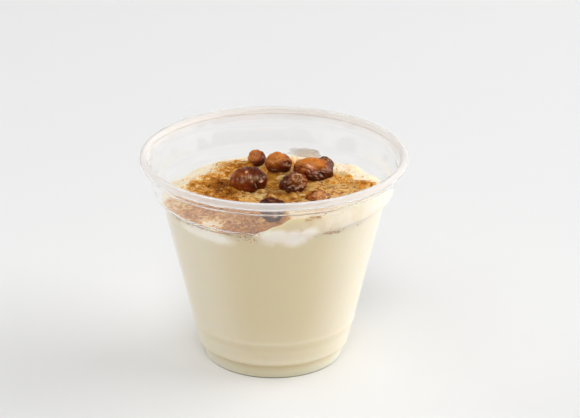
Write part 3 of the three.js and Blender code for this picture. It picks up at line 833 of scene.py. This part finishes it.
def crumbPlaces(random):  # on the top, where the cinnamon is, and stuck to the wall
    c = crumbs
    radius = c["reach"] * np.sqrt(random.random(c["tries"]))
    azimuth = tau * random.random(c["tries"])
    edge = wallRadius(smoothContact(np.degrees(azimuth)))
    x, y = radius * edge * np.cos(azimuth), radius * edge * np.sin(azimuth)
    clumped = toppingShares(x, y)[0] + c["clump"] * lumpNoise(flatPoints(x, y), c["clumpSize"], 9)
    kept = random.random(c["tries"]) < np.clip(clumped - c["least"], 0, 1) ** c["eagerness"]
    x, y = x[kept], y[kept]
    level, _ = surfaceAt(x, y)
    clear = np.all([ballSection(raisin, c["clear"], x, y) == np.inf for raisin in raisins], axis=0)
    onTop = np.stack([x, y, level], -1)[clear]
    marks = np.repeat(np.array([mark[:4] for mark in wallCrumbs]), [mark[4] for mark in wallCrumbs], axis=0)
    turn = np.radians(marks[:, 0] + marks[:, 2] * random.normal(size=len(marks)))
    wallLevel = marks[:, 1] + marks[:, 3] * random.normal(size=len(marks))
    reach = wallRadius(wallLevel) - c["offWall"]
    onWall = np.stack([reach * np.cos(turn), reach * np.sin(turn), wallLevel], -1)
    return np.concatenate([onTop, onWall]), len(onTop)


def makeCrumbs():  # one joined mesh of ragged chips, each from a ball of 20 faces
    c = crumbs
    random = np.random.default_rng(c["seed"])
    places, topCount = crumbPlaces(random)
    count = len(places)
    chip = ballMesh("chip", 1)
    corners = readCo(chip)
    faces = np.array([face.vertices for face in chip.polygons])
    bpy.data.meshes.remove(chip)
    size = c["smallest"] + (c["largest"] - c["smallest"]) * random.random(count) ** c["rarity"]
    width = c["narrowest"] + (1 - c["narrowest"]) * random.random(count)
    stretch = np.stack([np.ones(count), width, np.full(count, c["flat"])], -1)
    ragged = 1 + c["ragged"] * (2 * random.random((count, len(corners), 1)) - 1)
    chips = corners * ragged * (stretch * size[:, None])[:, None, :]
    turns = [Quaternion(q).normalized().to_matrix() for q in random.normal(size=(count, 4))]
    chips = np.einsum("nij,nkj->nki", np.array(turns), chips)
    chips += (places - [0, 0, 1] * (c["sunk"] * size)[:, None])[:, None, :]
    mesh = bpy.data.meshes.new("cinnamonCrumbs")
    allFaces = (faces[None] + len(corners) * np.arange(count)[:, None, None]).reshape(-1, 3)
    mesh.from_pydata(chips.reshape(-1, 3) * mm, [], allFaces)
    shade = random.random(count)
    shade[:topCount] += c["thinShade"] * (1 - toppingShares(places[:topCount, 0], places[:topCount, 1])[0])
    shade[topCount:] += c["wallShade"]
    addAttribute(mesh, "shade", np.repeat(shade, len(corners)))
    return newPiece(mesh.name, mesh, makeMaterial("cinnamonBarkGround", c, crumbSurface))


crumbPiece = makeCrumbs()
print("crumbs:", len(crumbPiece.data.polygons), "faces")


looseRice = {
    "length": 5.4, "width": 2.4, "detail": 4, "blunt": 0.62, "bow": 0.3, "groove": 0.1, "grooveWidth": 0.25,
    "uneven": 0.08, "unevenRate": 1.7, "unevenShift": 5.1, "lift": 0.1,
    "pale": "#DCBC82", "soaked": "#BC8A40", "cloudEdge": (0.6, 0, 1),
    "shares": ["pale"], "patterns": {"cloudy": (1.2, 2)}, "bump": {"Strength": 0.3, "Distance": 0.1 * mm},
    "sockets": {"Roughness": 0.4, "Specular IOR Level": 0.15, **lightUnder(0.8, 2.2, 1.6, 1)},
}
riceGrains = [  # x, y, heading in degrees, how far it sits above the surface, and how pale it is
    (3.5, 9.6, 12, 0.15, 0.9), (8.9, -7.6, -8, 0.15, 0.9), (-3.9, -6.9, 35, 0.05, 0.8),
    (-6.3, -9.6, 10, 0.1, 0.8), (-12.6, -9.6, -25, 0.1, 0.5), (12.2, -3.4, 40, 0.05, 0.4),
    (-1.2, 8, -30, 0, 0.3), (20.6, 0.6, 20, 0.15, 0.5), (-17.5, 8.4, 28, 0.1, 0.4),
    (24.8, 10.2, -15, 0.2, 0.8), (-11.2, 21.4, 5, 0.1, 0.5), (9.6, 27.5, -10, 0.15, 0.9),
    (-18, 28.5, 20, 0.15, 0.9), (22, 13.4, 65, 0.35, 0.9), (24, -13, 35, 0.2, 0.7),
    (0.5, -16, -5, 0.15, 0.6), (-14.5, -20.5, 15, 0.1, 0.4),
]


# Cooked pudding rice: swollen, glassy at the edges and milky in the middle, coloured by what it soaked up.
def riceSurface(tree, look, share, pattern):
    milky = raggedShare(tree, share["pale"], pattern["cloudy"], *look["cloudEdge"])
    colour = paintOver(tree, srgb(look["soaked"]), [(milky, look["pale"])])
    bump = addNode(tree, "Bump", {}, {"Height": pattern["cloudy"], **look["bump"]})
    return addNode(tree, "BsdfPrincipled", lightInside, {
        "Base Color": colour, "Normal": bump, **look["sockets"]})


def makeLooseRice():  # one joined mesh: each grain is a long ball, bowed, with a shallow groove along it
    look = looseRice
    joined = bmesh.new()
    pale = []
    for i, (x, y, heading, above, paleness) in enumerate(riceGrains):
        bm = bmesh.new()
        bmesh.ops.create_icosphere(bm, subdivisions=look["detail"], radius=1)
        for vert in bm.verts:
            ball = vert.co.copy()
            groove = look["groove"] * math.exp(-(ball.y / look["grooveWidth"]) ** 2) * (1 - ball.x ** 2)
            shift = Vector((i * look["unevenShift"], 0, 0))
            uneven = 1 + look["uneven"] * noise.noise(ball * look["unevenRate"] + shift)
            along = math.copysign(abs(ball.x) ** look["blunt"], ball.x)
            vert.co = Vector((along * look["length"] / 2, ball.y * look["width"] / 2,
                              ball.z * look["width"] / 2 * (1 - groove))) * uneven
            vert.co.y += look["bow"] * (1 - ball.x ** 2)
        level = surfaceAt(np.array([x], float), np.array([y], float))[0][0]
        place = Vector((x, y, level + above - look["width"] / 2 + look["lift"]))
        turn = Matrix.Rotation(math.radians(heading), 4, "Z")
        bmesh.ops.transform(bm, matrix=Matrix.Scale(mm, 4) @ Matrix.Translation(place) @ turn, verts=bm.verts)
        pale += [paleness] * len(bm.verts)
        part = finishMesh("riceGrain", bm)
        joined.from_mesh(part)
        bpy.data.meshes.remove(part)
    mesh = finishMesh("looseRice", joined)
    addAttribute(mesh, "pale", pale)
    return newPiece(mesh.name, mesh, makeMaterial("riceCookedGrain", look, riceSurface))


makeLooseRice()
print("loose rice:", len(riceGrains), "grains")


wallSmear = {
    "azimuth": 73, "level": 59.1, "halfWidth": 9.5, "halfHeight": 1.7,  # the width is in degrees
    "detail": 5, "thick": 0.12, "offWall": 0.05, "ragged": 0.25, "raggedSize": 0.5,
    "cream": "#B89F88", "sockets": {"Roughness": 0.6, **lightUnder(0.5, 4.2, 3, 1.8)},
    "thinnest": 0.35, "thinFrom": 0.8, "thickFrom": -0.6, "edgePower": 3,
    "shares": ("cover", "fleck"), "patterns": {"speckles": (1.4, 3)}, "speckleEdge": (0, 0.66, 0.74, 0.7),
    "fleck": 0.7, "fleckPlace": (-0.55, 0.2), "fleckHalf": (0.1, 0.5),  # one dark fleck near its end
}


# Film of thin pudding left on the wall by the spoon: creamy, a little see-through at its edges.
def smearSurface(tree, look, share, pattern):
    spotted = raggedShare(tree, pattern["speckles"], 0, *look["speckleEdge"])
    colour = paintOver(tree, srgb(look["cream"]), [
        (spotted, puddingLook["stainBrown"]), (share["fleck"], puddingLook["syrupPoolAndShade"])])
    return addNode(tree, "BsdfPrincipled", lightInside, {
        "Base Color": colour, "Alpha": share["cover"], **look["sockets"]})


def makeSmear():  # a flat ragged lens that hugs the inside of the wall
    look = wallSmear
    mesh = ballMesh("creamSmears", look["detail"])
    ball = readCo(mesh)
    wide, deep, high = ball.T
    thinning = smoothStep(look["thinFrom"], look["thickFrom"], wide)
    edge = np.clip(1 - (wide ** 2 + high ** 2) ** look["edgePower"], 0, 1)
    addAttribute(mesh, "cover", edge * (look["thinnest"] + (1 - look["thinnest"]) * thinning))
    (fleckWide, fleckHigh), (halfWide, halfHigh) = look["fleckPlace"], look["fleckHalf"]
    spot = np.exp(-((wide - fleckWide) / halfWide) ** 2 - ((high - fleckHigh) / halfHigh) ** 2)
    addAttribute(mesh, "fleck", look["fleck"] * spot)
    ragged = 1 + look["ragged"] * lumpNoise(ball * [1, 0, 1], look["raggedSize"], 60)
    turn = np.radians(look["azimuth"] + look["halfWidth"] * wide * ragged)
    level = look["level"] + look["halfHeight"] * high * ragged
    radius = wallRadius(level) + puddingShape["intoWall"] - look["offWall"] - look["thick"] * (1 + deep) / 2
    writeCo(mesh, np.stack([radius * np.cos(turn), radius * np.sin(turn), level], -1) * mm)
    return newPiece(mesh.name, mesh, makeMaterial("puddingFilmOnWall", look, smearSurface))


smearPiece = makeSmear()
print("smear:", len(smearPiece.data.polygons), "faces")


studio = {
    "floorHalf": 2500, "paper": "#EAEAEA", "paperRoughness": 0.7,
    "shares": [], "patterns": {"fibres": (1.5, 3)}, "bump": {"Strength": 0.05, "Distance": 0.1 * mm},
    "room": 0.25, "lampAim": 40,
}
# Each lamp's name, azimuth and elevation in degrees, distance, width and height in metres, watts, and rays.
lamps = [
    ("keyRight", 12, 24, 2.3, 2.6, 1.6, 57, "diffuse"),
    ("frontStrip", 268, 52, 1.25, 0.3, 0.8, 4.3, "diffuse"),
    ("frontLeft", 218, 52, 1.4, 0.8, 0.8, 4.3, "diffuse"),
    ("backLeft", 155, 20, 2.3, 1.7, 1.0, 14.5, "diffuse"),
    ("backRight", 75, 35, 1.6, 1.2, 0.8, 3.6, "diffuse"),
    ("glintFront", 288, 57, 1.2, 0.12, 0.4, 44, "glossy"),
    ("glintRight", 345, 38, 1.3, 0.2, 0.5, 34, "glossy"),
    ("glintLeft", 236, 46, 1.3, 0.12, 0.4, 25, "glossy"),
    *((name, azimuth, 22, 2.2, 4.4, 2.6, 24, "transmission") for name, azimuth in (
        ("cardBack", 90), ("cardLeft", 180), ("cardRight", 0), ("cardFront", 270))),
    ("cardAbove", 270, 89, 2.2, 4.4, 4.4, 40, "transmission"),  # the white cards brighten the clear cup
]
viewpoint = {  # in metres and degrees
    "distance": 0.9, "elevation": 24.002, "aimLevel": 0.037, "yaw": -0.359, "pitch": 0.952, "roll": -0.065,
    "lens": 160.91, "farthest": 20,
}


# Matt seamless paper: even, chalky white.
def paperSurface(tree, look, share, pattern):
    bump = addNode(tree, "Bump", {}, {"Height": pattern["fibres"], **look["bump"]})
    return addNode(tree, "BsdfPrincipled", {}, {
        "Base Color": srgb(look["paper"]), "Roughness": look["paperRoughness"], "Normal": bump})


def makeFloor():
    bm = bmesh.new()
    bmesh.ops.create_grid(bm, x_segments=1, y_segments=1, size=studio["floorHalf"] * mm)
    mesh = finishMesh("paperFloor", bm)
    mesh.materials.append(makeMaterial("seamlessPaperMatt", studio, paperSurface))
    floor = bpy.data.objects.new("paperFloor", mesh)
    bpy.context.scene.collection.objects.link(floor)


def makeRoom():
    world = bpy.data.worlds.new("softWhiteRoom")
    bpy.context.scene.world = world
    world.use_nodes = True
    background = world.node_tree.nodes["Background"].inputs
    background["Color"].default_value = (1, 1, 1, 1)
    background["Strength"].default_value = studio["room"]


def makeLamp(name, azimuth, elevation, distance, width, height, watts, rays):
    data = bpy.data.lights.new(name, "AREA")
    data.shape = "RECTANGLE"
    data.size = width
    data.size_y = height
    data.energy = watts
    lamp = bpy.data.objects.new(name, data)
    for kind in ("diffuse", "glossy", "transmission"):  # so that no wide lamp is a white patch in the wall
        setattr(lamp, "visible_" + kind, rays == kind)
    turn, rise = math.radians(azimuth), math.radians(elevation)
    lamp.location = Vector((math.cos(turn) * math.cos(rise), math.sin(turn) * math.cos(rise),
                            math.sin(rise))) * distance
    aim = Vector((0, 0, studio["lampAim"] * mm)) - lamp.location
    lamp.rotation_euler = aim.to_track_quat("-Z", "Y").to_euler()
    bpy.context.scene.collection.objects.link(lamp)
    if rays == "glossy":  # small bright lamps, which would be hard spots on the cup and the milk
        lamp.light_linking.receiver_collection = wetSkins


def makeCamera():
    v = viewpoint
    rise = math.radians(v["elevation"])
    data = bpy.data.cameras.new("studioCamera")
    data.lens = v["lens"]
    data.clip_end = v["farthest"]
    camera = bpy.data.objects.new("studioCamera", data)
    pose = Matrix.Translation((
        0, -v["distance"] * math.cos(rise), v["distance"] * math.sin(rise) + v["aimLevel"]))
    for turn, axis in ((90 - v["elevation"], "X"), (v["yaw"], "Y"), (v["pitch"], "X"), (-v["roll"], "Z")):
        pose = pose @ Matrix.Rotation(math.radians(turn), 4, axis)
    camera.matrix_world = pose
    bpy.context.scene.collection.objects.link(camera)
    bpy.context.scene.camera = camera


wetSkins = bpy.data.collections.new("wetSkins")
for piece in raisinPieces:
    wetSkins.objects.link(piece)
makeFloor()
makeRoom()
for lamp in lamps:
    makeLamp(*lamp)
makeCamera()
bpy.context.scene.view_settings.view_transform = "Standard"
print("studio:", len(lamps), "lamps")
